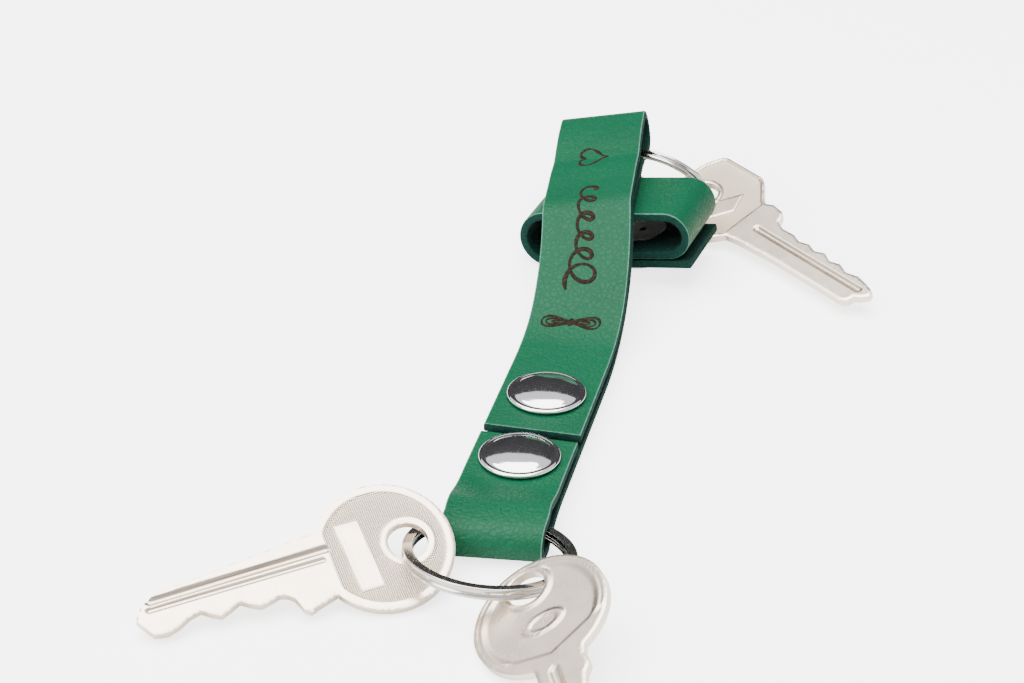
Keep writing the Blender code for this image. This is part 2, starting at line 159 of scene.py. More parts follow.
# %% Bends of the strap
FRONT_SHIFT = -11.25     # profiles measure Y from the front snap
THICK, WIDTH = 1.7, 18.5
FRONT_GAP, BACK_GAP = 1.4, 0.4          # between the two layers, at the snaps and at the short loop
TOP_LIFT = 0.85                         # how far the top run rises off the lower one near the back bend
BANK, BANK_START, BANK_END, BANK_HEIGHT = math.radians(10.0), 40.0, 77.0, 16.0
BOW, BOW_START, BOW_LENGTH = 1.0, -4.0, 18.0
TURN_SLOPE, TURN_START, TURN_LENGTH = -0.105, 35.0, 20.0


def soft_step(value, low, high):
    """0 below low, 1 above high, and a smoothstep between."""
    t = np.clip((value - low) / (high - low), 0.0, 1.0)
    return t * t * (3 - 2 * t)


def placed(u, y, z):
    """Points u across, y along and z up a straight strap, on the bent strap, in metres.

    The centreline is a parabola that becomes a straight line. Across is its level normal, turned by
    the bank angle, which follows a smoothstep along the strap.
    """
    u, y, z = np.broadcast_arrays(np.asarray(u, float), np.asarray(y, float), np.asarray(z, float))
    bow = np.clip((BOW_START - y) / BOW_LENGTH, 0.0, 1.0)
    turn = np.clip((y - TURN_START) / TURN_LENGTH, 0.0, 1.0)
    x = BOW * bow ** 2 + TURN_SLOPE * TURN_LENGTH / 2 * turn ** 2
    x = x + TURN_SLOPE * np.maximum(y - TURN_START - TURN_LENGTH, 0.0)
    slope = -2 * BOW * bow / BOW_LENGTH + TURN_SLOPE * turn
    norm = np.sqrt(1 + slope ** 2)
    lean = BANK * soft_step(y, BANK_START, BANK_END)
    level = np.where(lean > 0, BANK_HEIGHT, 0.0)
    side = u * np.cos(lean) - (z - level) * np.sin(lean)
    rise = level + u * np.sin(lean) + (z - level) * np.cos(lean)
    return np.stack([x + side / norm, y - side * slope / norm + FRONT_SHIFT, rise], -1) * MM


def smooth_path(points, step=0.5):
    """A Catmull-Rom curve through the points, sampled evenly by its length."""
    points = np.asarray(points, float)
    padded = np.vstack([2 * points[0] - points[1], points, 2 * points[-1] - points[-2]])
    t = np.linspace(0.0, 1.0, 24, endpoint=False)[None, :, None]
    p0, p1, p2, p3 = (padded[i:len(padded) - 3 + i][:, None, :] for i in range(4))
    curve = 0.5 * (2 * p1 + (p2 - p0) * t + (2 * p0 - 5 * p1 + 4 * p2 - p3) * t ** 2
                   + (3 * p1 - p0 - 3 * p2 + p3) * t ** 3)
    curve = np.vstack([curve.reshape(-1, points.shape[1]), points[-1]])
    return resample(curve, step)


def resample(curve, step):
    """The curve again, with points an even step apart."""
    run = np.concatenate([[0.0], np.cumsum(np.linalg.norm(np.diff(curve, axis=0), axis=1))])
    at = np.linspace(0.0, run[-1], max(int(round(run[-1] / step)), 2) + 1)
    return np.stack([np.interp(at, run, column) for column in curve.T], -1)


def normals_of(path):
    """The left-hand normal of a flat path at each of its points."""
    step = np.gradient(path, axis=0)
    step /= np.linalg.norm(step, axis=1)[:, None]
    return np.stack([-step[:, 1], step[:, 0]], -1)


fold = [(-20.15, 6.65), (-21.5, 6.67), (-23.1, 6.6), (-24.7, 6.4), (-26.05, 5.7), (-26.9, 4.55),
        (-27.05, 3.3), (-26.7, 2.2), (-25.7, 1.35), (-24.5, 0.95), (-23.0, 0.85), (-14.0, 0.85)]
flap_top = [(7.6, 3.95), (2.0, 3.95), (-6.5, 3.95), (-8.5, 4.05), (-11.5, 4.55), (-14.5, 5.5),
            (-17.5, 6.4), (-19.85, 6.65)]
middle = smooth_path([(38.0, 2.4), (43.0, 2.65), (48.0, 3.75), (54.0, 5.9), (61.0, 8.9), (68.0, 12.1),
                      (74.0, 15.1), (77.2, 16.6), (82.0, 16.8), (88.0, 16.45), (97.0, 15.95)])
space = FRONT_GAP + (BACK_GAP - FRONT_GAP) * soft_step(middle[:, 0], 38.0, 54.0)
offset = ((space + THICK) / 2)[:, None] * normals_of(middle)
over = np.column_stack([np.zeros(len(middle)), TOP_LIFT * soft_step(middle[:, 0], 80.0, 94.0)])
bend_low = [(100.5, 14.75), (104.5, 14.1), (108.0, 13.1), (111.4, 12.45), (114.6, 12.35)]
bend_high = [(114.6, 12.35), (116.9, 13.2), (118.0, 15.85), (116.9, 18.5), (114.9, 19.3), (113.0, 19.35),
             (108.0, 19.2), (103.5, 18.75), (100.0, 18.2)]
front_path = resample(np.vstack([smooth_path(flap_top), smooth_path(fold[:-1])]), 0.4)
bottom_path = resample(np.vstack([[(-23.0, 0.85), (12.0, 0.85), (27.0, 0.85)], middle - offset,
                                  smooth_path(bend_low)]), 0.5)
top_path = resample(np.vstack([smooth_path(bend_high), (middle + offset + over)[::-1],
                               [(30.0, 3.95), (10.3, 3.95)]]), 0.4)
print("leather path lengths, mm:", [round(0.4 * len(p)) for p in (front_path, bottom_path, top_path)])

# %% [markdown]
# ## Meshes from arrays
#
# Every piece below is a grid of points. Strips and turned pieces share one function that joins
# neighbouring rings of points into faces.

# %% Mesh helpers


def raw_mesh(name, points, faces):
    mesh = bpy.data.meshes.new(name)
    mesh.from_pydata(np.asarray(points).tolist(), [], [list(f) for f in faces])
    return mesh


def face_outwards(mesh):
    work = bmesh.new()
    work.from_mesh(mesh)
    bmesh.ops.recalc_face_normals(work, faces=work.faces)
    work.to_mesh(mesh)
    work.free()


def build(name, points, faces, body, look, slot, stands_for=(), attributes=None, uv=None):
    """An object at the origin from points in metres, riding on a body when one is given."""
    mesh = raw_mesh(name, points, faces)
    for key, values in (attributes or {}).items():
        layer = mesh.attributes.new(key, "FLOAT", "POINT")
        layer.data.foreach_set("value", np.asarray(values, np.float32))
    if uv is not None:
        corner = np.empty(len(mesh.loops), np.int32)
        mesh.loops.foreach_get("vertex_index", corner)
        layer = mesh.uv_layers.new(name="plan")
        layer.data.foreach_set("uv", np.asarray(uv, np.float32)[corner].ravel())
    face_outwards(mesh)
    mesh.polygons.foreach_set("use_smooth", [True] * len(mesh.polygons))
    made = link(bpy.data.objects.new(name, mesh))
    mesh.materials.append(look)
    if body:
        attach(made, body)
    if stands_for:
        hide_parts(*stands_for)
    return made


def rings_to_faces(count, around):
    """Quads between `count` rings of `around` points, with a face over each end."""
    i = np.arange(count - 1)[:, None] * around
    k = np.arange(around)[None, :]
    after = (k + 1) % around
    quads = np.stack([i + k, i + after, i + around + after, i + around + k], -1).reshape(-1, 4).tolist()
    return quads + [list(range(around))[::-1], list(range((count - 1) * around, count * around))]


# %% [markdown]
# ## Leather
#
# The strip is vegetable-tanned leather, dyed green, with a fine pebbled grain on its outer face, a
# fuzzy darker inner face and dark cut edges, with a painted highlight along each edge's grain-side
# corner. A closed outline (wide, thin, with softly rounded corners) is carried along the side-view
# path. Two attributes, `edge` and `flesh`, tell the material which part of the skin it is on, and the
# UV map holds millimetres along and across the strip.

# %% Node-group helpers


def group(name, inputs, outputs):
    """An empty shader node group with named sockets."""
    made = bpy.data.node_groups.new(name, "ShaderNodeTree")
    for label, kind, value in inputs:
        socket = made.interface.new_socket(label, in_out="INPUT", socket_type=kind)
        if value is not None:
            socket.default_value = value
    for label, kind in outputs:
        made.interface.new_socket(label, in_out="OUTPUT", socket_type=kind)
    return made, made.nodes.new("NodeGroupInput"), made.nodes.new("NodeGroupOutput")


class Wires:
    """Adds nodes to one tree in short calls."""

    def __init__(self, tree):
        self.tree = tree

    def node(self, kind, settings=None, **inputs):
        made = self.tree.nodes.new(kind)
        for key, value in (settings or {}).items():
            setattr(made, key, value)
        for key, value in inputs.items():
            self.put(made.inputs[int(key[1:])] if key[0] == "i" and key[1:].isdigit()
                     else made.inputs[key.replace("_", " ")], value)
        return made

    def put(self, socket, value):
        if isinstance(value, bpy.types.NodeSocket):
            self.tree.links.new(value, socket)
        else:
            socket.default_value = value

    def math(self, operation, a, b=0.0, c=0.0, clamp=False):
        return self.node("ShaderNodeMath", {"operation": operation, "use_clamp": clamp},
                         i0=a, i1=b, i2=c).outputs[0]

    def mix(self, factor, a, b):
        made = self.node("ShaderNodeMix", {"data_type": "RGBA"})
        self.put(made.inputs["Factor"], factor)
        self.put(made.inputs[6], a)
        self.put(made.inputs[7], b)
        return made.outputs[2]

    def ramp(self, value, low, high, to_low=0.0, to_high=1.0):
        made = self.node("ShaderNodeMapRange", {"interpolation_type": "SMOOTHSTEP"}, Value=value)
        for label, number in (("From Min", low), ("From Max", high), ("To Min", to_low), ("To Max", to_high)):
            made.inputs[label].default_value = number
        return made.outputs[0]


def pebble_grain():
    """Leather grain: small cells with soft valleys, broken by creases and a few fine pores."""
    made, inside, outside = group("pebble_grain", [("Vector", "NodeSocketVector", None),
                                                   ("Cell", "NodeSocketFloat", 900.0)],
                                  [("Height", "NodeSocketFloat"), ("Valley", "NodeSocketFloat"),
                                   ("Patch", "NodeSocketFloat")])
    w = Wires(made)
    bend = w.node("ShaderNodeTexNoise", Vector=inside.outputs[0], Scale=350.0, Detail=3.0)
    shifted = w.node("ShaderNodeVectorMath", {"operation": "MULTIPLY_ADD"}, i0=bend.outputs["Color"],
                     i1=(0.0012, 0.0012, 0.0012), i2=inside.outputs[0])
    cells = w.node("ShaderNodeTexVoronoi", {"feature": "DISTANCE_TO_EDGE"}, Vector=shifted.outputs[0],
                   Scale=inside.outputs[1])
    valley = w.ramp(cells.outputs["Distance"], 0.0, 0.22, 1.0, 0.0)
    coarse = w.node("ShaderNodeTexNoise", Vector=inside.outputs[0], Scale=180.0, Detail=5.0, Roughness=0.6)
    crease = w.node("ShaderNodeTexVoronoi", {"feature": "DISTANCE_TO_EDGE"}, Vector=shifted.outputs[0],
                    Scale=260.0)
    fold_line = w.ramp(crease.outputs["Distance"], 0.0, 0.08, 1.0, 0.0)
    height = w.math("SUBTRACT", w.math("MULTIPLY", coarse.outputs[0], 0.8), w.math("MULTIPLY", valley, 0.45))
    height = w.math("SUBTRACT", height, w.math("MULTIPLY", fold_line, 0.35))
    patch = w.node("ShaderNodeTexNoise", Vector=inside.outputs[0], Scale=45.0, Detail=4.0)
    for k, value in enumerate((height, valley, patch.outputs[0])):
        w.put(outside.inputs[k], value)
    return made


GRAIN = pebble_grain()


def leather(name, grain, shade, edge, flesh):
    """The strip's leather: pebbled green outside, dark at the cut edge with a painted highlight along its
    grain-side corner, dark and fuzzy inside.
    """
    made = bpy.data.materials.new(name)
    made.use_nodes = True
    w = Wires(made.node_tree)
    shader = made.node_tree.nodes["Principled BSDF"]
    place = w.node("ShaderNodeTexCoord").outputs["Object"]
    pebbles = w.node("ShaderNodeGroup", {"node_tree": GRAIN}, Vector=place)
    on_edge = w.node("ShaderNodeAttribute", {"attribute_name": "edge"}).outputs["Fac"]
    on_flesh = w.node("ShaderNodeAttribute", {"attribute_name": "flesh"}).outputs["Fac"]
    tone = w.mix(pebbles.outputs["Patch"], (*shade, 1.0), (*grain, 1.0))
    tone = w.mix(w.math("MULTIPLY", pebbles.outputs["Valley"], 0.35), tone, (*shade, 1.0))
    fibre = w.node("ShaderNodeTexNoise", Vector=place, Scale=1500.0, Detail=6.0, Roughness=0.7)
    speckle = w.ramp(fibre.outputs[0], 0.35, 0.7)
    nap = w.mix(speckle, tuple(0.55 * c for c in flesh) + (1.0,), (*flesh, 1.0))
    cut = w.mix(speckle, tuple(0.6 * c for c in edge) + (1.0,), (*edge, 1.0))
    tone = w.mix(on_flesh, tone, nap)
    tone = w.mix(w.ramp(on_edge, 0.35, 0.8), tone, cut)
    # Painted highlight: a light teal line along the grain-side corner of each cut edge, where the bevel catches
    # the light.
    corner = w.math("MULTIPLY", w.ramp(on_edge, 0.05, 0.35), w.ramp(on_edge, 0.5, 0.85, 1.0, 0.0))
    corner = w.math("MULTIPLY", corner, w.ramp(on_flesh, 0.1, 0.4, 1.0, 0.0))
    tone = w.mix(w.math("MULTIPLY", corner, w.ramp(speckle, 0.0, 1.0, 0.5, 0.9)), tone, (0.10, 0.26, 0.19, 1.0))
    w.put(shader.inputs["Base Color"], tone)
    rough = w.math("MULTIPLY_ADD", pebbles.outputs["Valley"], 0.12, 0.44)
    rough = w.math("MAXIMUM", rough, w.math("MULTIPLY", w.math("MAXIMUM", on_flesh, on_edge), 0.88))
    w.put(shader.inputs["Roughness"], rough)
    height = w.math("ADD", w.math("MULTIPLY", pebbles.outputs["Height"], 1.0),
                    w.math("MULTIPLY", w.math("MULTIPLY", fibre.outputs[0], on_flesh), 2.5))
    bump = w.node("ShaderNodeBump", Height=height, Strength=0.5, Distance=0.00025)
    w.put(shader.inputs["Normal"], bump.outputs[0])
    shader.inputs["Specular IOR Level"].default_value = 0.14
    return made


GREEN = leather("green_leather", (0.002, 0.080, 0.034), (0.001, 0.048, 0.020), (0.003, 0.034, 0.024),
                (0.003, 0.030, 0.022))

# %% The strip function


def outline(width, thick, corner=0.42, columns=14):
    """The strip's cross-section as (across, through, edge, flesh) rows, once round.

    Each face has cosine-spaced columns, and each edge is a half superellipse.
    """
    across = -np.cos(np.linspace(0.0, np.pi, columns)) * (width / 2 - corner)
    turn = np.linspace(-np.pi / 2, np.pi / 2, 9)[1:-1]
    bulge = np.abs(np.cos(turn)) ** 0.55 * corner
    rise = np.sign(np.sin(turn)) * np.abs(np.sin(turn)) ** 0.7 * thick / 2
    zeros, ones = np.zeros(columns), np.ones(columns)
    edge_mark = np.array([0.4, 0.9, 1.0, 1.0, 1.0, 0.9, 0.4])
    flesh_mark = np.linspace(0.0, 1.0, 7)
    rows = [np.stack([across, zeros - thick / 2, zeros, zeros], -1),
            np.stack([width / 2 - corner + bulge, rise, edge_mark, flesh_mark], -1),
            np.stack([across[::-1], zeros + thick / 2, zeros, ones], -1),
            np.stack([-(width / 2 - corner + bulge), -rise, edge_mark, 1 - flesh_mark], -1)]
    return np.vstack(rows)


def strip(name, path, place, body, stands_for=(), ends=(True, True), width=WIDTH):
    """A strip of leather: the outline carried along a side-view path, then bent by `place`.

    Point = path(s) + through * normal(s), with across kept, mapped by place(across, y, z).
    """
    shape = outline(width, THICK)
    normals = normals_of(path)
    shrink = np.ones(len(path))
    marks = np.zeros(len(path))
    pieces = [path]
    if ends[0]:
        pieces.insert(0, path[:1] - 0.12 * (path[1] - path[0]) / np.linalg.norm(path[1] - path[0]))
        normals = np.vstack([normals[:1], normals])
        shrink = np.concatenate([[0.12], shrink])
        marks = np.concatenate([[1.0], marks])
    if ends[1]:
        pieces.append(path[-1:] + 0.12 * (path[-1] - path[-2]) / np.linalg.norm(path[-1] - path[-2]))
        normals = np.vstack([normals, normals[-1:]])
        shrink = np.concatenate([shrink, [0.12]])
        marks = np.concatenate([marks, [1.0]])
    spine = np.vstack(pieces)
    inset = np.where(shrink < 1, 0.12, 0.0)
    across = np.sign(shape[:, 0]) * np.maximum(np.abs(shape[:, 0])[None, :] - inset[:, None], 0.0)
    through = np.sign(shape[:, 1]) * np.maximum(np.abs(shape[:, 1])[None, :] - inset[:, None], 0.0)
    y = spine[:, :1] + through * normals[:, :1]
    z = spine[:, 1:] + through * normals[:, 1:]
    points = place(across, y, z).reshape(-1, 3)
    edge = np.maximum(shape[None, :, 2], marks[:, None]).ravel()
    flesh = np.broadcast_to(shape[:, 3], across.shape).ravel()
    run = np.concatenate([[0.0], np.cumsum(np.linalg.norm(np.diff(spine, axis=0), axis=1))])
    uv = np.stack([np.broadcast_to(run[:, None], across.shape), across], -1).reshape(-1, 2)
    faces = rings_to_faces(len(spine), len(shape))
    made = build(name, points, faces, body, GREEN, "green_leather", stands_for,
                 {"edge": edge, "flesh": flesh}, uv)
    print(name, len(made.data.polygons), "faces")
    return made


# %% [markdown]
# ## Holes and seats
#
# A snap's parts pass through the leather. A short turned cutter takes each hole out of the finished
# strip with an exact Boolean, and the result is written back so that no modifier stays live.

# %% Turning and cutting


def lathe(profile, matrix, steps=96):
    """Points and faces of a closed profile of (radius, height), turned about the matrix's Z axis.

    Point = matrix * (r cos t, r sin t, h). Points on the axis stay single, so poles are closed.
    """
    profile = np.asarray(profile, float)
    turn = np.linspace(0.0, 2 * np.pi, steps, endpoint=False)
    rings, points, count = [], [], 0
    for radius, height in profile:
        size = 1 if radius < 1e-6 else steps
        ring = np.stack([radius * np.cos(turn[:size]), radius * np.sin(turn[:size]),
                         np.full(size, height)], -1)
        rings.append(np.arange(count, count + size))
        points.append(ring)
        count += size
    faces = []
    pairs = zip(rings, rings[1:]) if profile[0, 0] < 1e-6 else zip(rings, rings[1:] + rings[:1])
    for low, high in pairs:
        low_next, high_next = np.roll(low, -1), np.roll(high, -1)
        if len(low) == 1 and len(high) == 1:
            continue
        if len(low) == 1:
            faces += np.stack([np.repeat(low, steps), high, high_next], -1).tolist()
        elif len(high) == 1:
            faces += np.stack([low, low_next, np.repeat(high, steps)], -1).tolist()
        else:
            faces += np.stack([low, low_next, high_next, high], -1).tolist()
    return at(matrix, np.vstack(points)), faces


def at(matrix, points):
    """Points in millimetres of the matrix's frame, in metres of the row frame."""
    grid = np.array(matrix)
    return (np.asarray(points) @ grid[:3, :3].T + grid[:3, 3] + (0.0, FRONT_SHIFT, 0.0)) * MM


def basis(origin, x_axis, z_axis):
    """A matrix whose columns are the given X direction, the matching Y and the given Z direction."""
    z_dir = Vector(z_axis).normalized()
    x_dir = (Vector(x_axis) - Vector(x_axis).dot(z_dir) * z_dir).normalized()
    y_dir = z_dir.cross(x_dir)
    made = Matrix.Identity(4)
    for row in range(3):
        made[row][0], made[row][1], made[row][2], made[row][3] = x_dir[row], y_dir[row], z_dir[row], origin[row]
    return made


def cut(target, points, faces):
    """Takes a closed shape out of the target for good."""
    mesh = raw_mesh("cutter", points, faces)
    face_outwards(mesh)
    cutter = link(bpy.data.objects.new("cutter", mesh))
    step = target.modifiers.new("cut", "BOOLEAN")
    step.operation, step.solver, step.object = "DIFFERENCE", "EXACT", cutter
    graph = bpy.context.evaluated_depsgraph_get()
    result = bpy.data.meshes.new_from_object(target.evaluated_get(graph), depsgraph=graph)
    target.modifiers.clear()
    target.data = result
    bpy.data.objects.remove(cutter)


# %% The strap's three lengths of leather
# The strap is three meshes that meet end to end: under the front fold, and inside the back bend. Each
# joint's own bend lies wholly in one mesh.
POST_HOLE_R, CAP_HOLE_R = 1.85, 2.0
FLANGE_POCKET_R, SOCKET_POCKET_R = 5.4, 5.8
SEAT, SOCKET_SEAT = 0.85, 3.9           # depth of a flange's seat, and height of a socket's
strap_front = strip("strap_front_fold", front_path, placed, None, ("strap_front_flap",), (True, False))
strap_bottom = strip("strap_underside", bottom_path, placed, "strap_base", ("strap_lower_run",),
                     (False, False))
strap_top = strip("strap_top", top_path, placed, None, ("strap_top_run",), (False, True))
SNAPS = {"front": basis((0.0, 0.0, 0.0), (1, 0, 0), (0, 0, 1)),
         "back": basis((0.0, 22.5, 0.0), (1, 0, 0), (0, 0, 1))}
RING_FRONT = {"centre": (2.2, -31.9, 5.6), "normal": (0.04, 0.16, 0.98), "middle_r": 14.1,
              "radial": 1.8, "tall": 2.1}
RING_BACK = {"centre": (6.62, 110.38, 9.28), "normal": (0.24, 0.76, 0.60), "middle_r": 9.2,
             "radial": 1.5, "tall": 1.8}
path_r, path_w, path_t = RING_BACK["middle_r"], RING_BACK["radial"] / 2 + 0.8, RING_BACK["tall"] / 2 + 0.8
cut(strap_bottom, *lathe([(path_r - path_w, -path_t), (path_r + path_w, -path_t), (path_r + path_w, path_t),
                          (path_r - path_w, path_t)],
                         basis(RING_BACK["centre"], (1, 0, 0), RING_BACK["normal"]), 64))
for where in SNAPS.values():
    cut(strap_bottom, *lathe([(0, -1), (FLANGE_POCKET_R, -1), (FLANGE_POCKET_R, SEAT), (POST_HOLE_R, SEAT),
                              (POST_HOLE_R, 2.4), (0, 2.4)], where, 48))
for where, piece in (("front", strap_front), ("back", strap_top)):
    cut(piece, *lathe([(0, 2.6), (SOCKET_POCKET_R, 2.6), (SOCKET_POCKET_R, SOCKET_SEAT),
                       (CAP_HOLE_R, SOCKET_SEAT), (CAP_HOLE_R, 5.6), (0, 5.6)], SNAPS[where], 48))
tuple(placed(0, -19.0, 8.0))
tuple(placed(0, -23.5, 6.0))
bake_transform(strap_front)
tuple(placed(0, 116.5, 15.5))
tuple(placed(0, 111.0, 20.0))
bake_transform(strap_top)

# %% [markdown]
# ## Burnt ornaments
#
# The top run is decorated with a laser, which burns thin brown lines into the grain: a heart, a
# flowing scroll and a small bow. Each line is a ribbon of varying width laid on the bent leather, just
# above it, so that it follows the strap's curve.

# %% Heart, scroll and bow
top_line = top_path[::-1]
flat_line = top_line[(top_line[:, 0] < 112.0) & (np.gradient(top_line[:, 0]) > 0.05)]
rise_of = np.stack([-np.gradient(flat_line[:, 1]), np.gradient(flat_line[:, 0])], -1)
rise_of /= np.linalg.norm(rise_of, axis=1)[:, None]


def on_top(across, y, lift):
    """Points on the top run's grain: the centre line raised along its own normal by half the leather."""
    z = np.interp(y, flat_line[:, 0], flat_line[:, 1])
    ny, nz = (np.interp(y, flat_line[:, 0], column) for column in rise_of.T)
    high = THICK / 2 + lift
    return placed(across, y + ny * high, z + nz * high)


def burnt_line(name, points, wide):
    """A ribbon along a smooth curve of (across, y), thick in the middle of each stroke."""
    curve = smooth_path(points, 0.18)
    side = normals_of(curve)
    along = np.linspace(0.0, 1.0, len(curve))
    half = wide / 2 * (0.8 + 0.2 * np.sin(along * 40.0)) * np.clip(
        np.minimum(along, 1 - along) * 20 + 0.6, 0.0, 1.0)
    left, right = curve - half[:, None] * side, curve + half[:, None] * side
    rows = [on_top(left[:, 0], left[:, 1], -0.04), on_top(left[:, 0], left[:, 1], 0.025),
            on_top(right[:, 0], right[:, 1], 0.025), on_top(right[:, 0], right[:, 1], -0.04)]
    points = np.stack(rows, 1).reshape(-1, 3)
    return points, rings_to_faces(len(curve), 4)


def burnt_brown():
    """Charred leather: very dark brown, matt, with lighter specks where the burn is shallow."""
    made = bpy.data.materials.new("burnt_leather")
    made.use_nodes = True
    w = Wires(made.node_tree)
    shader = made.node_tree.nodes["Principled BSDF"]
    place = w.node("ShaderNodeTexCoord").outputs["Object"]
    specks = w.node("ShaderNodeTexNoise", Vector=place, Scale=1800.0, Detail=4.0)
    tone = w.mix(w.ramp(specks.outputs[0], 0.4, 0.7), (0.008, 0.006, 0.004, 1.0), (0.034, 0.020, 0.011, 1.0))
    w.put(shader.inputs["Base Color"], tone)
    w.put(shader.inputs["Roughness"], w.ramp(specks.outputs[0], 0.3, 0.7, 0.75, 0.95))
    shader.inputs["Specular IOR Level"].default_value = 0.1
    bump = w.node("ShaderNodeBump", Height=specks.outputs[0], Strength=0.3, Distance=0.0001)
    w.put(shader.inputs["Normal"], bump.outputs[0])
    return made


t = np.linspace(0.0, 2 * np.pi, 40)
lobes = 13 * np.cos(t) - 5 * np.cos(2 * t) - 2 * np.cos(3 * t) - np.cos(4 * t)
heart = np.stack([-1.0 - 0.2 * lobes, 97.3 + 3.7 * np.sin(t) ** 3], -1)
coil = np.linspace(0.0, 1.0, 110)
sweep = 2 * np.pi * 5.75 * coil - 0.6
size = 3.3 - 1.5 * soft_step(coil, 0.08, 0.35)
scroll = np.stack([-0.5 + 0.6 * coil - size * np.cos(sweep) * 0.9,
                   58.4 + 25.0 * coil + size * 0.95 * np.sin(sweep) + 0.5 * np.cos(sweep)], -1)
bow = [np.stack([-0.7 + wide * np.sin(t), 49.0 + tall * np.sin(2 * t)], -1)
       for wide, tall in ((5.8, 1.5), (4.9, 0.9), (3.8, 0.35))]
lines = [burnt_line("heart", heart, 0.85), burnt_line("scroll", scroll, 1.0),
         burnt_line("knot", [(-0.9, 48.0), (-0.55, 49.0), (-0.8, 50.0)], 1.2)]
lines += [burnt_line("bow", ribbon, 0.6) for ribbon in bow]
shift, all_points, all_faces = 0, [], []
for points, faces in lines:
    all_points.append(points)
    all_faces += [[index + shift for index in face] for face in faces]
    shift += len(points)
build("burnt_ornaments", np.vstack(all_points), all_faces, "top_run", burnt_brown(), "green_leather")
print("ornaments", len(all_faces), "faces")

# %% [markdown]
# ## The short loop
#
# A shorter strip is rolled into a flat loop and closed by a snap. It is the same leather, so the same
# strip function makes it, along a path in the loop's own tilted frame.

# %% Short loop
LOOP_HEADING, LOOP_TILT = math.radians(8.0), math.radians(10.0)
loop_u = Vector((math.cos(LOOP_HEADING) * math.cos(LOOP_TILT), -math.sin(LOOP_HEADING) * math.cos(LOOP_TILT),
                 math.sin(LOOP_TILT)))
loop_v = Vector((math.sin(LOOP_HEADING), math.cos(LOOP_HEADING), 0.0))
loop_w = loop_u.cross(loop_v)
loop_frame = basis((2.0, 88.5, 8.75), loop_u, loop_w)
LOOP_HALF, LOOP_LEFT, LOOP_RIGHT = 6.2, -14.0, 12.35
TOP_W = LOOP_HALF - THICK / 2
FLAP_W = -TOP_W
FLOOR_W = FLAP_W + THICK + BACK_GAP
RIGHT_R = (TOP_W - FLOOR_W) / 2


def in_loop(across, u, w):
    """Points of the loop (u along it, w up, in its tilted frame), in metres."""
    across, u, w = np.broadcast_arrays(across, u, w)
    return at(loop_frame, np.stack([u, across, w], -1).reshape(-1, 3)).reshape(*u.shape, 3)


def arc(centre_u, centre_w, radius, start, end, count=24):
    turn = np.radians(np.linspace(start, end, count))
    return np.stack([centre_u + radius * np.cos(turn), centre_w + radius * np.sin(turn)], -1)


roll_path = resample(np.vstack([[(-12.5, FLOOR_W)], arc(LOOP_RIGHT, (TOP_W + FLOOR_W) / 2, RIGHT_R, -90, 90),
                                arc(LOOP_LEFT, 0.0, TOP_W, 90, 180)]), 0.35)
tail_path = resample(np.vstack([arc(LOOP_LEFT, 0.0, TOP_W, 180, 270), [(16.8, FLAP_W)]]), 0.35)
loop_roll = strip("short_loop_roll", roll_path, in_loop, "short_loop", ("short_loop_body",), (True, False))
loop_tail = strip("short_loop_tail", tail_path, in_loop, None, ("short_loop_flap",), (False, True))
SNAPS["loop"] = basis(loop_frame @ Vector((4.0, 0.0, 0.0)), loop_u, -loop_w)
floor_top, flap_up = -(FLOOR_W + THICK / 2), -(FLAP_W + THICK / 2)
cut(loop_roll, *lathe([(0, floor_top - 1), (POST_HOLE_R, floor_top - 1), (POST_HOLE_R, floor_top + SEAT),
                       (SOCKET_POCKET_R, floor_top + SEAT), (SOCKET_POCKET_R, floor_top + 2),
                       (0, floor_top + 2)], SNAPS["loop"], 48))
cut(loop_tail, *lathe([(0, flap_up - 0.3), (SOCKET_POCKET_R, flap_up - 0.3), (SOCKET_POCKET_R, flap_up + SEAT),
                       (CAP_HOLE_R, flap_up + SEAT), (CAP_HOLE_R, flap_up + 2.6), (0, flap_up + 2.6)],
                      SNAPS["loop"], 48))
tuple(in_loop(0.0, -17.0, -4.6))
tuple(in_loop(0.0, -11.0, -5.4))
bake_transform(loop_tail)

# %% [markdown]
# ## Metal finishes
#
# The caps are polished nickel plate, the rings plated steel, and the keys nickel silver that pockets
# have dulled. All share one group that makes fine handling scratches and faint smudges; each metal
# uses it at its own strength.

# %% Scratches and the metals


def handling_marks():
    """Fine scratches in two directions and soft smudges, as two masks."""
    made, inside, outside = group("handling_marks", [("Vector", "NodeSocketVector", None)],
                                  [("Scratch", "NodeSocketFloat"), ("Smudge", "NodeSocketFloat")])
    w = Wires(made)
    marks = []
    for turn in (0.6, -0.9):
        turned = w.node("ShaderNodeMapping", Vector=inside.outputs[0], Rotation=(0.2, 0.3, turn),
                        Scale=(1.0, 0.04, 0.04))
        lines = w.node("ShaderNodeTexNoise", Vector=turned.outputs[0], Scale=9000.0, Detail=2.0)
        marks.append(w.ramp(lines.outputs[0], 0.62, 0.72))
    smudge = w.node("ShaderNodeTexNoise", Vector=inside.outputs[0], Scale=220.0, Detail=3.0)
    w.put(outside.inputs[0], w.math("MAXIMUM", marks[0], marks[1]))
    w.put(outside.inputs[1], smudge.outputs[0])
    return made


MARKS = handling_marks()


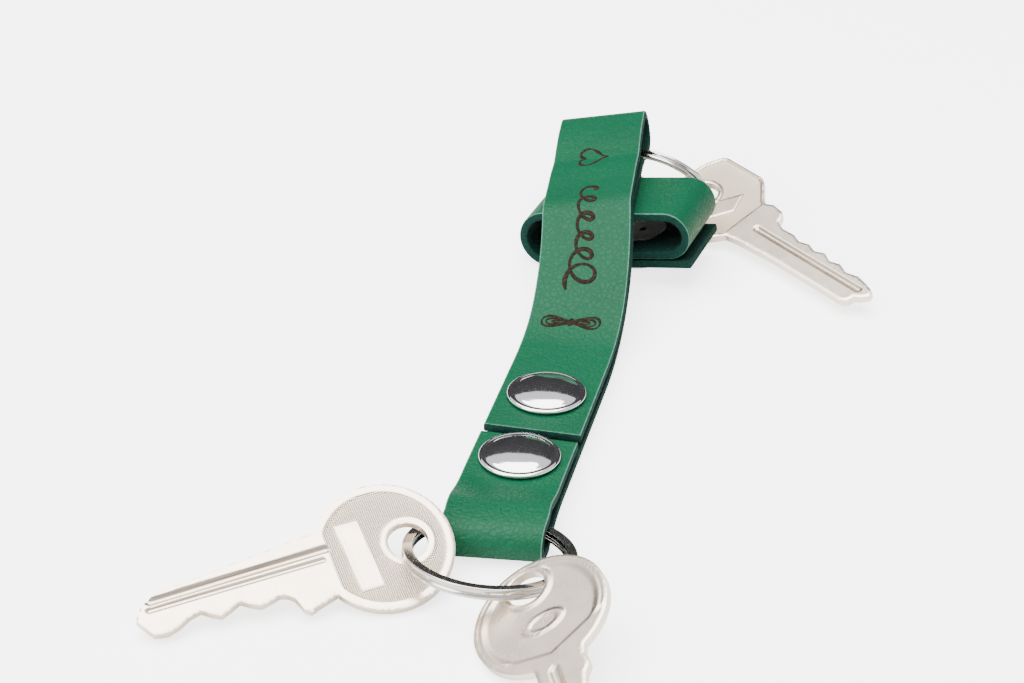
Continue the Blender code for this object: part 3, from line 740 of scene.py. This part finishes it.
def metal(name, colour, roughness, scratch, smudge, hatch=0.0, tarnish=None):
    """A plated metal with handling marks in its roughness; `hatch` adds a fine crossed stamping, darker brown
    in its hollows, and painted brown shade where the `low` attribute marks slopes and grooves.
    """
    made = bpy.data.materials.new(name)
    made.use_nodes = True
    w = Wires(made.node_tree)
    shader = made.node_tree.nodes["Principled BSDF"]
    place = w.node("ShaderNodeTexCoord").outputs["Object"]
    marks = w.node("ShaderNodeGroup", {"node_tree": MARKS}, Vector=place)
    rough = w.math("MULTIPLY_ADD", marks.outputs["Scratch"], scratch, roughness)
    rough = w.math("MULTIPLY_ADD", marks.outputs["Smudge"], smudge, rough)
    w.put(shader.inputs["Roughness"], rough)
    w.put(shader.inputs["Base Color"], w.mix(w.math("MULTIPLY", marks.outputs["Smudge"], 0.4),
                                             (*colour, 1.0), tuple(0.8 * c for c in colour) + (1.0,)))
    shader.inputs["Metallic"].default_value = 1.0
    if hatch:
        plan = w.node("ShaderNodeUVMap", {"uv_map": "plan"}).outputs[0]
        parts = w.node("ShaderNodeSeparateXYZ", Vector=plan)
        waves = [w.math("SINE", w.math("MULTIPLY", w.math(way, parts.outputs[0], parts.outputs[1]), 8.5))
                 for way in ("ADD", "SUBTRACT")]
        pimples = w.math("MULTIPLY", waves[0], waves[1])
        where = w.node("ShaderNodeAttribute", {"attribute_name": "stamped"}).outputs["Fac"]
        height = w.math("MULTIPLY", pimples, where)
        bump = w.node("ShaderNodeBump", Height=height, Strength=hatch, Distance=0.00012)
        w.put(shader.inputs["Normal"], bump.outputs[0])
        rough = w.math("MULTIPLY_ADD", where, 0.14, rough)
        w.put(shader.inputs["Roughness"], rough)
        # Painted shade: brown where the `low` attribute marks the relief's slopes and deep grooves; the
        # stamping's hollows are also made darker brown.
        low = w.node("ShaderNodeAttribute", {"attribute_name": "low"}).outputs["Fac"]
        painted_shade_and_hatch_hollows = w.math("MAXIMUM", w.math("MULTIPLY", low, 0.7), w.math("MULTIPLY", where, w.ramp(
            pimples, -0.5, 0.3, 0.22, 0.0)))
        worn = shader.inputs["Base Color"].links[0].from_socket
        w.put(shader.inputs["Base Color"], w.mix(painted_shade_and_hatch_hollows, worn, (0.20, 0.13, 0.08, 1.0)))
    return made


CAP_NICKEL = metal("cap_nickel", (0.86, 0.85, 0.84), 0.05, 0.10, 0.05)
DARK_STEEL = metal("darkened_steel", (0.20, 0.185, 0.17), 0.32, 0.10, 0.12)
STAMPED_STEEL = metal("stamped_steel", (0.55, 0.54, 0.53), 0.28, 0.10, 0.10)
RING_STEEL = metal("ring_steel", (0.60, 0.565, 0.52), 0.12, 0.15, 0.10)
KEY_NICKEL = metal("key_nickel", (0.92, 0.79, 0.64), 0.20, 0.12, 0.16, 0.7)

# %% [markdown]
# ## Snaps
#
# A cap is a shallow stamped dome with a rolled rim, plated and polished, on a short stem. Its profile
# is a smooth curve turned about the snap's axis. The other parts of each snap are stamped sheet, and
# keep the frame's own shapes under a rougher plating.

# %% Caps and inner parts
CAP_PROFILE = smooth_path([(6.6, -0.02), (7.05, 0.0), (7.36, 0.1), (7.5, 0.38), (7.42, 0.66), (7.15, 0.84),
                           (6.85, 0.86), (6.6, 0.82), (6.2, 0.9), (5.6, 1.13), (4.2, 1.5), (2.6, 1.76),
                           (1.2, 1.88), (0.0, 1.9)], 0.12)
for snap, stem_end, under in (("front", 4.0, 5.05), ("back", 4.0, 5.05), ("loop", 5.4, 6.5)):
    body = {"front": "front_flap", "back": "top_run", "loop": "loop_flap"}[snap]
    profile = [(0.0, stem_end), (1.6, stem_end), (1.7, stem_end + 0.1), (1.7, under)]
    profile += (CAP_PROFILE + (0.0, under)).tolist()
    profile[-1][0] = 0.0
    build(f"{snap}_cap_dome", *lathe(profile, SNAPS[snap], 128), body, CAP_NICKEL, "snap_caps",
          (f"snap_{snap}_cap",))
for node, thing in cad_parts.items():
    if node.startswith("snap") and not node.endswith("cap"):
        thing.data.materials.clear()
        thing.data.materials.append(DARK_STEEL if node == "snap_loop_post" else STAMPED_STEEL)

# %% [markdown]
# ## Split rings
#
# A split ring is flat wire coiled twice, so its wall shows a fine seam all the way round. The turned
# profile has rounded corners and a narrow groove at mid height, outside and inside.

# %% Rings


def ring_outline(ring):
    """The coil's section: two flat wires, one on the other, each with rounded corners."""
    half_r, half_t, soft = ring["radial"] / 2, ring["tall"] / 2, 0.22
    rows = []
    for across, up in ((1, -1), (1, 0), (1, 1), (-1, 1), (-1, 0), (-1, -1)):
        if up == 0:
            rows += [(across * half_r, -across * 0.12), (across * (half_r - 0.3), 0.0),
                     (across * half_r, across * 0.12)]
            continue
        turn = np.linspace(0.0, np.pi / 2, 5) + {(1, -1): -np.pi / 2, (1, 1): 0.0, (-1, 1): np.pi / 2,
                                                 (-1, -1): np.pi}[(across, up)]
        rows += [(across * (half_r - soft) + soft * math.cos(t), up * (half_t - soft) + soft * math.sin(t))
                 for t in turn]
    return [(ring["middle_r"] + r, h) for r, h in rows]


for name, ring, body, node in (("large_split_ring", RING_FRONT, "ring_front", "split_ring_front"),
                               ("small_split_ring", RING_BACK, "ring_back", "split_ring_back")):
    build(name, *lathe(ring_outline(ring), basis(ring["centre"], (1, 0, 0), ring["normal"]), 160), body,
          RING_STEEL, "ring_steel", (node,))

# %% [markdown]
# ## Keys
#
# A key is stamped and milled from flat nickel silver. Its face is treated as a height field over the
# outline: a sunk recess inside a raised rim, a collar round the hole, a raised boss, and a groove along
# the blade. A constrained triangulation fills the outline, so the relief and the cuts stay sharp.

# %% Key faces
KEY_HALF = 0.9


def inside(points, loop):
    """Whether each point lies inside the closed loop, by counting crossings."""
    x, y = points[:, :1], points[:, 1:]
    x0, y0 = loop[:, 0], loop[:, 1]
    x1, y1 = np.roll(x0, -1), np.roll(y0, -1)
    crossing = ((y0 > y) != (y1 > y)) & (x < (x1 - x0) * (y - y0) / np.where(y1 == y0, 1e-9, y1 - y0) + x0)
    return crossing.sum(1) % 2 == 1


def distance_to(points, start, end):
    """Distance from each point to a straight segment, and how far along the segment it is."""
    start, end = np.asarray(start, float), np.asarray(end, float)
    along = np.clip(((points - start) @ (end - start)) / ((end - start) @ (end - start)), 0.0, 1.0)
    return np.linalg.norm(points - start - along[:, None] * (end - start), axis=1)


def loop_distance(points, loop):
    """Distance from each point to the nearest side of a closed loop."""
    return np.min([distance_to(points, a, b) for a, b in zip(loop, np.roll(loop, -1, axis=0))], axis=0)


def key_shape(name, body, node, place, outline, relief, look, spacing=0.32):
    """A flat key: the outline and hole triangulated, lifted by relief(points) and edged all round."""
    outline = resample(np.vstack([outline, outline[:1]]), spacing)[:-1]
    turn = np.linspace(0.0, 2 * np.pi, 64, endpoint=False)
    hole = np.asarray(place["hole_at"]) + place["hole_r"] * np.stack([np.cos(turn), np.sin(turn)], -1)
    low, high = outline.min(0), outline.max(0)
    grid = np.stack(np.meshgrid(np.arange(low[0], high[0], spacing), np.arange(low[1], high[1], spacing)),
                    -1).reshape(-1, 2)
    grid = grid[inside(grid, outline) & ~inside(grid, hole)]
    grid = grid[(loop_distance(grid, outline[::2]) > 0.3)
                & (np.linalg.norm(grid - place["hole_at"], axis=1) > place["hole_r"] + 0.3)]
    flat = np.vstack([outline, hole, grid])
    count, ring = len(outline), len(hole)
    sides = [(k, (k + 1) % count) for k in range(count)]
    sides += [(count + k, count + (k + 1) % ring) for k in range(ring)]
    verts, _, faces, _, _, _ = delaunay_2d_cdt([Vector(p) for p in flat], sides, [], 0, 1e-5)
    flat = np.array([tuple(v) for v in verts])
    faces = np.array([f for f in faces if len(f) == 3])
    middle_of = flat[faces].mean(1)
    faces = faces[inside(middle_of, outline) & ~inside(middle_of, hole)]
    corner = flat[faces]
    flipped = np.cross(corner[:, 1] - corner[:, 0], corner[:, 2] - corner[:, 0]) < 0
    faces[flipped] = faces[flipped][:, ::-1]
    used = np.unique(faces)
    order = np.full(len(flat), -1)
    order[used] = np.arange(len(used))
    flat, faces = flat[used], order[faces]
    ends = np.vstack([faces[:, [0, 1]], faces[:, [1, 2]], faces[:, [2, 0]]])
    both = {tuple(e) for e in ends.tolist()}
    rim = [(a, b) for a, b in both if (b, a) not in both]
    at_rim = np.zeros(len(flat), bool)
    at_rim[np.array(rim).ravel()] = True
    lift, stamped = relief(flat)
    # Painted shade: `low` marks the relief's slopes and its deepest grooves, which the key material paints
    # brown.
    tilt = np.hypot(*(relief(flat + step)[0] - relief(flat - step)[0] for step in ((0.12, 0.0), (0.0, 0.12))))
    low = np.clip(tilt / 0.24 * 0.9 + np.maximum(-lift - 0.45, 0.0) * 2.0, 0.0, 1.0)
    top = KEY_HALF + np.where(at_rim, np.minimum(lift, 0.0) - 0.14, lift)
    under = np.where(at_rim, -KEY_HALF + 0.14, -KEY_HALF)
    total = len(flat)
    solid = np.vstack([np.column_stack([flat, top]), np.column_stack([flat, under])])
    all_faces = faces.tolist() + (faces[:, ::-1] + total).tolist()
    all_faces += [(b, a, a + total, b + total) for a, b in rim]
    made = build(name, at(basis(place["hole"], place["along"], place["normal"]), solid), all_faces, body,
                 look, "key_nickel", (node,), {"stamped": np.concatenate([stamped, 0 * stamped]),
                                               "low": np.concatenate([low, 0 * low])},
                 np.vstack([flat, flat]))
    sharp = made.data.attributes.new("sharp_edge", "BOOLEAN", "EDGE")
    rims = {tuple(sorted(e)) for a, b in rim for e in ((a, b), (a + total, b + total))}
    pairs = np.empty(len(made.data.edges) * 2, np.int32)
    made.data.edges.foreach_get("vertices", pairs)
    sharp.data.foreach_set("value", [tuple(sorted(p)) in rims for p in pairs.reshape(-1, 2).tolist()])
    print(name, len(all_faces), "faces")


def arc_of(centre, radius, start, end, count=120):
    turn = np.radians(np.linspace(start, end, count))
    return np.stack([centre[0] + radius * np.cos(turn), centre[1] + radius * np.sin(turn)], -1)


def away(points, centre):
    return np.linalg.norm(points - np.asarray(centre), axis=1)


def textured_relief(points):
    """A sunk, stamped face in a raised rim, a collar, a blank raised panel and two blade grooves."""
    sunk = 1 - soft_step(away(points, (4.0, -0.8)), 10.3, 10.7)
    collar = 1 - soft_step(away(points, (-0.2, -0.5)), 4.6, 5.1)
    side = np.maximum(np.abs(points[:, 0] - 8.5 + 0.04 * points[:, 1]) - 2.1,
                      np.abs(points[:, 1] + 0.4) - 6.6)
    panel_mark = 1 - soft_step(side, -0.1, 0.25)
    frame_mark = panel_mark * (1 - soft_step(-side, 0.45, 0.65)) * 0.5
    blade = soft_step(points[:, 0], 12.6, 13.4)
    sunk = sunk * (1 - blade)
    stamped = sunk * (1 - np.maximum(collar, panel_mark))
    lift = -0.28 * sunk * (1 - collar) * (1 - 0.6 * panel_mark) + 0.1 * frame_mark
    first = distance_to(points, (13.6, -3.4), (44.6, -3.0))
    second = distance_to(points, (14.6, -1.5), (45.2, -1.4))
    lift = lift - 0.62 * (1 - soft_step(first, 0.35, 0.75)) - 0.35 * (1 - soft_step(second, 0.2, 0.5))
    return lift, stamped


def smooth_relief(points):
    """A dished face in a double rim, a collar, a plain oval boss and a step at the neck."""
    out = away(points, (7.2, 0.7))
    sunk = 1 - soft_step(out, 9.6, 10.8)
    line = np.exp(-((out - 11.2) / 0.22) ** 2)
    collar = 1 - soft_step(away(points, (0.1, 0.1)), 4.3, 4.9)
    oval = np.hypot((points[:, 0] - 9.4) / 0.55, points[:, 1] - 0.7)
    boss = 1 - soft_step(oval, 3.6, 4.1)
    hollow = 1 - soft_step(oval, 2.3, 2.7)
    neck = soft_step(points[:, 0] + 0.35 * np.abs(points[:, 1]), 16.4, 16.9)
    lift = -0.26 * sunk * (1 - collar) * (1 - neck) - 0.08 * line * (1 - neck)
    lift = lift + (0.24 * boss - 0.14 * hollow) * (1 - neck) - 0.16 * neck
    lift = lift - 0.4 * (1 - soft_step(distance_to(points, (20.4, -0.5), (42.4, -0.8)), 0.5, 0.9))
    return lift, 0.0 * out


def hex_relief(points):
    """A sunk pebbled face that follows the six sides, a plain raised boss and one blade groove."""
    side = 1 - soft_step(-loop_distance(points, HEX_HEAD) * np.where(inside(points, HEX_HEAD), 1, -1),
                         -0.9, -0.6)
    sunk = side * (points[:, 0] < 15.0)
    collar = 1 - soft_step(away(points, (0.0, 0.0)), 5.0, 5.4)
    boss = 1 - soft_step(np.abs(points[:, 0] - 7.8) + 0.55 * np.abs(points[:, 1] - 1.0), 2.7, 3.1)
    stamped = sunk * (1 - np.maximum(boss, collar))
    lift = -0.4 * sunk * (1 - collar) * (1 - 0.8 * boss)
    lift = lift - 0.45 * (1 - soft_step(distance_to(points, (19.4, 0.2), (51.6, 0.3)), 0.4, 0.7))
    return lift, stamped


TEXTURED = {"hole": (-11.7, -33.8, 6.48), "along": (-0.82, -0.57, -0.077), "normal": (0.200, -0.410, 0.890),
            "hole_r": 3.5, "hole_at": (-0.2, -0.5)}
SMOOTH = {"hole": (11.2, -42.65, 7.0), "along": (0.452, -0.890, -0.055), "normal": (-0.41, -0.27, 0.871),
          "hole_r": 3.5, "hole_at": (0.1, 0.1)}
HEX = {"hole": (14.41, 111.64, 4.57), "along": (0.74, -0.67, -0.01), "normal": (-0.20, -0.23, 0.952),
       "hole_r": 4.2, "hole_at": (0.0, 0.0)}
textured_cuts = [(43.4, -4.2), (46.0, -2.7), (47.6, -0.3), (45.5, 3.1), (43.3, 3.5), (41.0, 2.8), (39.0, 1.7),
                 (37.0, 1.2), (35.4, 2.4), (33.9, 3.2), (32.0, 2.4), (30.3, 1.6), (28.7, 2.7), (27.1, 3.5),
                 (25.3, 3.1), (23.6, 2.6), (22.4, 3.0), (21.4, 3.9), (20.6, 6.3), (19.6, 7.2), (18.3, 6.6)]
smooth_cuts = [(38.0, -4.2), (43.0, -3.7), (45.5, -1.2), (45.2, 0.4), (42.6, 1.9), (40.4, 3.4), (38.0, 1.8),
               (35.6, 3.3), (33.2, 2.0), (30.8, 3.4), (28.6, 2.2), (26.6, 3.4), (24.4, 4.0), (22.9, 5.2),
               (20.0, 5.1)]
HEX_HEAD = np.array([(-7.6, 5.6), (-7.4, 7.6), (-5.9, 11.4), (-4.4, 12.2), (6.9, 12.2), (8.4, 11.6),
                     (13.3, 7.4), (14.6, 6.8), (15.4, -5.4), (14.0, -7.0), (12.8, -8.4), (9.0, -9.8),
                     (7.4, -10.2), (-4.4, -10.2), (-5.9, -9.5), (-7.6, -3.6)])
hex_outline = [(-7.6, 5.6), (-7.4, 7.6), (-5.9, 11.4), (-4.4, 12.2), (6.9, 12.2), (8.4, 11.6), (13.3, 7.4),
               (14.6, 6.8), (16.2, 7.6), (19.8, 7.1), (20.9, 5.9), (21.5, 4.4), (24.2, 3.5), (27.5, 3.7),
               (30.0, 2.9), (32.5, 3.6), (35.0, 2.8), (37.5, 3.7), (40.0, 2.6), (42.6, 3.3), (45.5, 2.3),
               (48.5, 3.0), (51.7, 2.4), (54.3, 1.6), (54.8, 0.2), (53.4, -1.2), (52.4, -1.7), (52.2, -3.4),
               (50.9, -4.2), (40.0, -4.2), (29.0, -4.3), (18.5, -4.9),
               (15.4, -5.4), (14.0, -7.0), (12.8, -8.4), (9.0, -9.8), (7.4, -10.2), (-4.4, -10.2),
               (-5.9, -9.5), (-7.6, -3.6)]
key_shape("textured_key", "key_textured", "key_round_textured", TEXTURED,
          np.vstack([arc_of((4.0, -0.8), 12.1, 31.0, 329.0), textured_cuts]), textured_relief, KEY_NICKEL)
key_shape("smooth_key", "key_smooth", "key_round_smooth", SMOOTH,
          np.vstack([arc_of((7.2, 0.7), 12.2, 24.0, 339.0), smooth_cuts]), smooth_relief, KEY_NICKEL)
key_shape("six_sided_key", "key_six_sided", "key_hex", HEX, hex_outline, hex_relief, KEY_NICKEL)
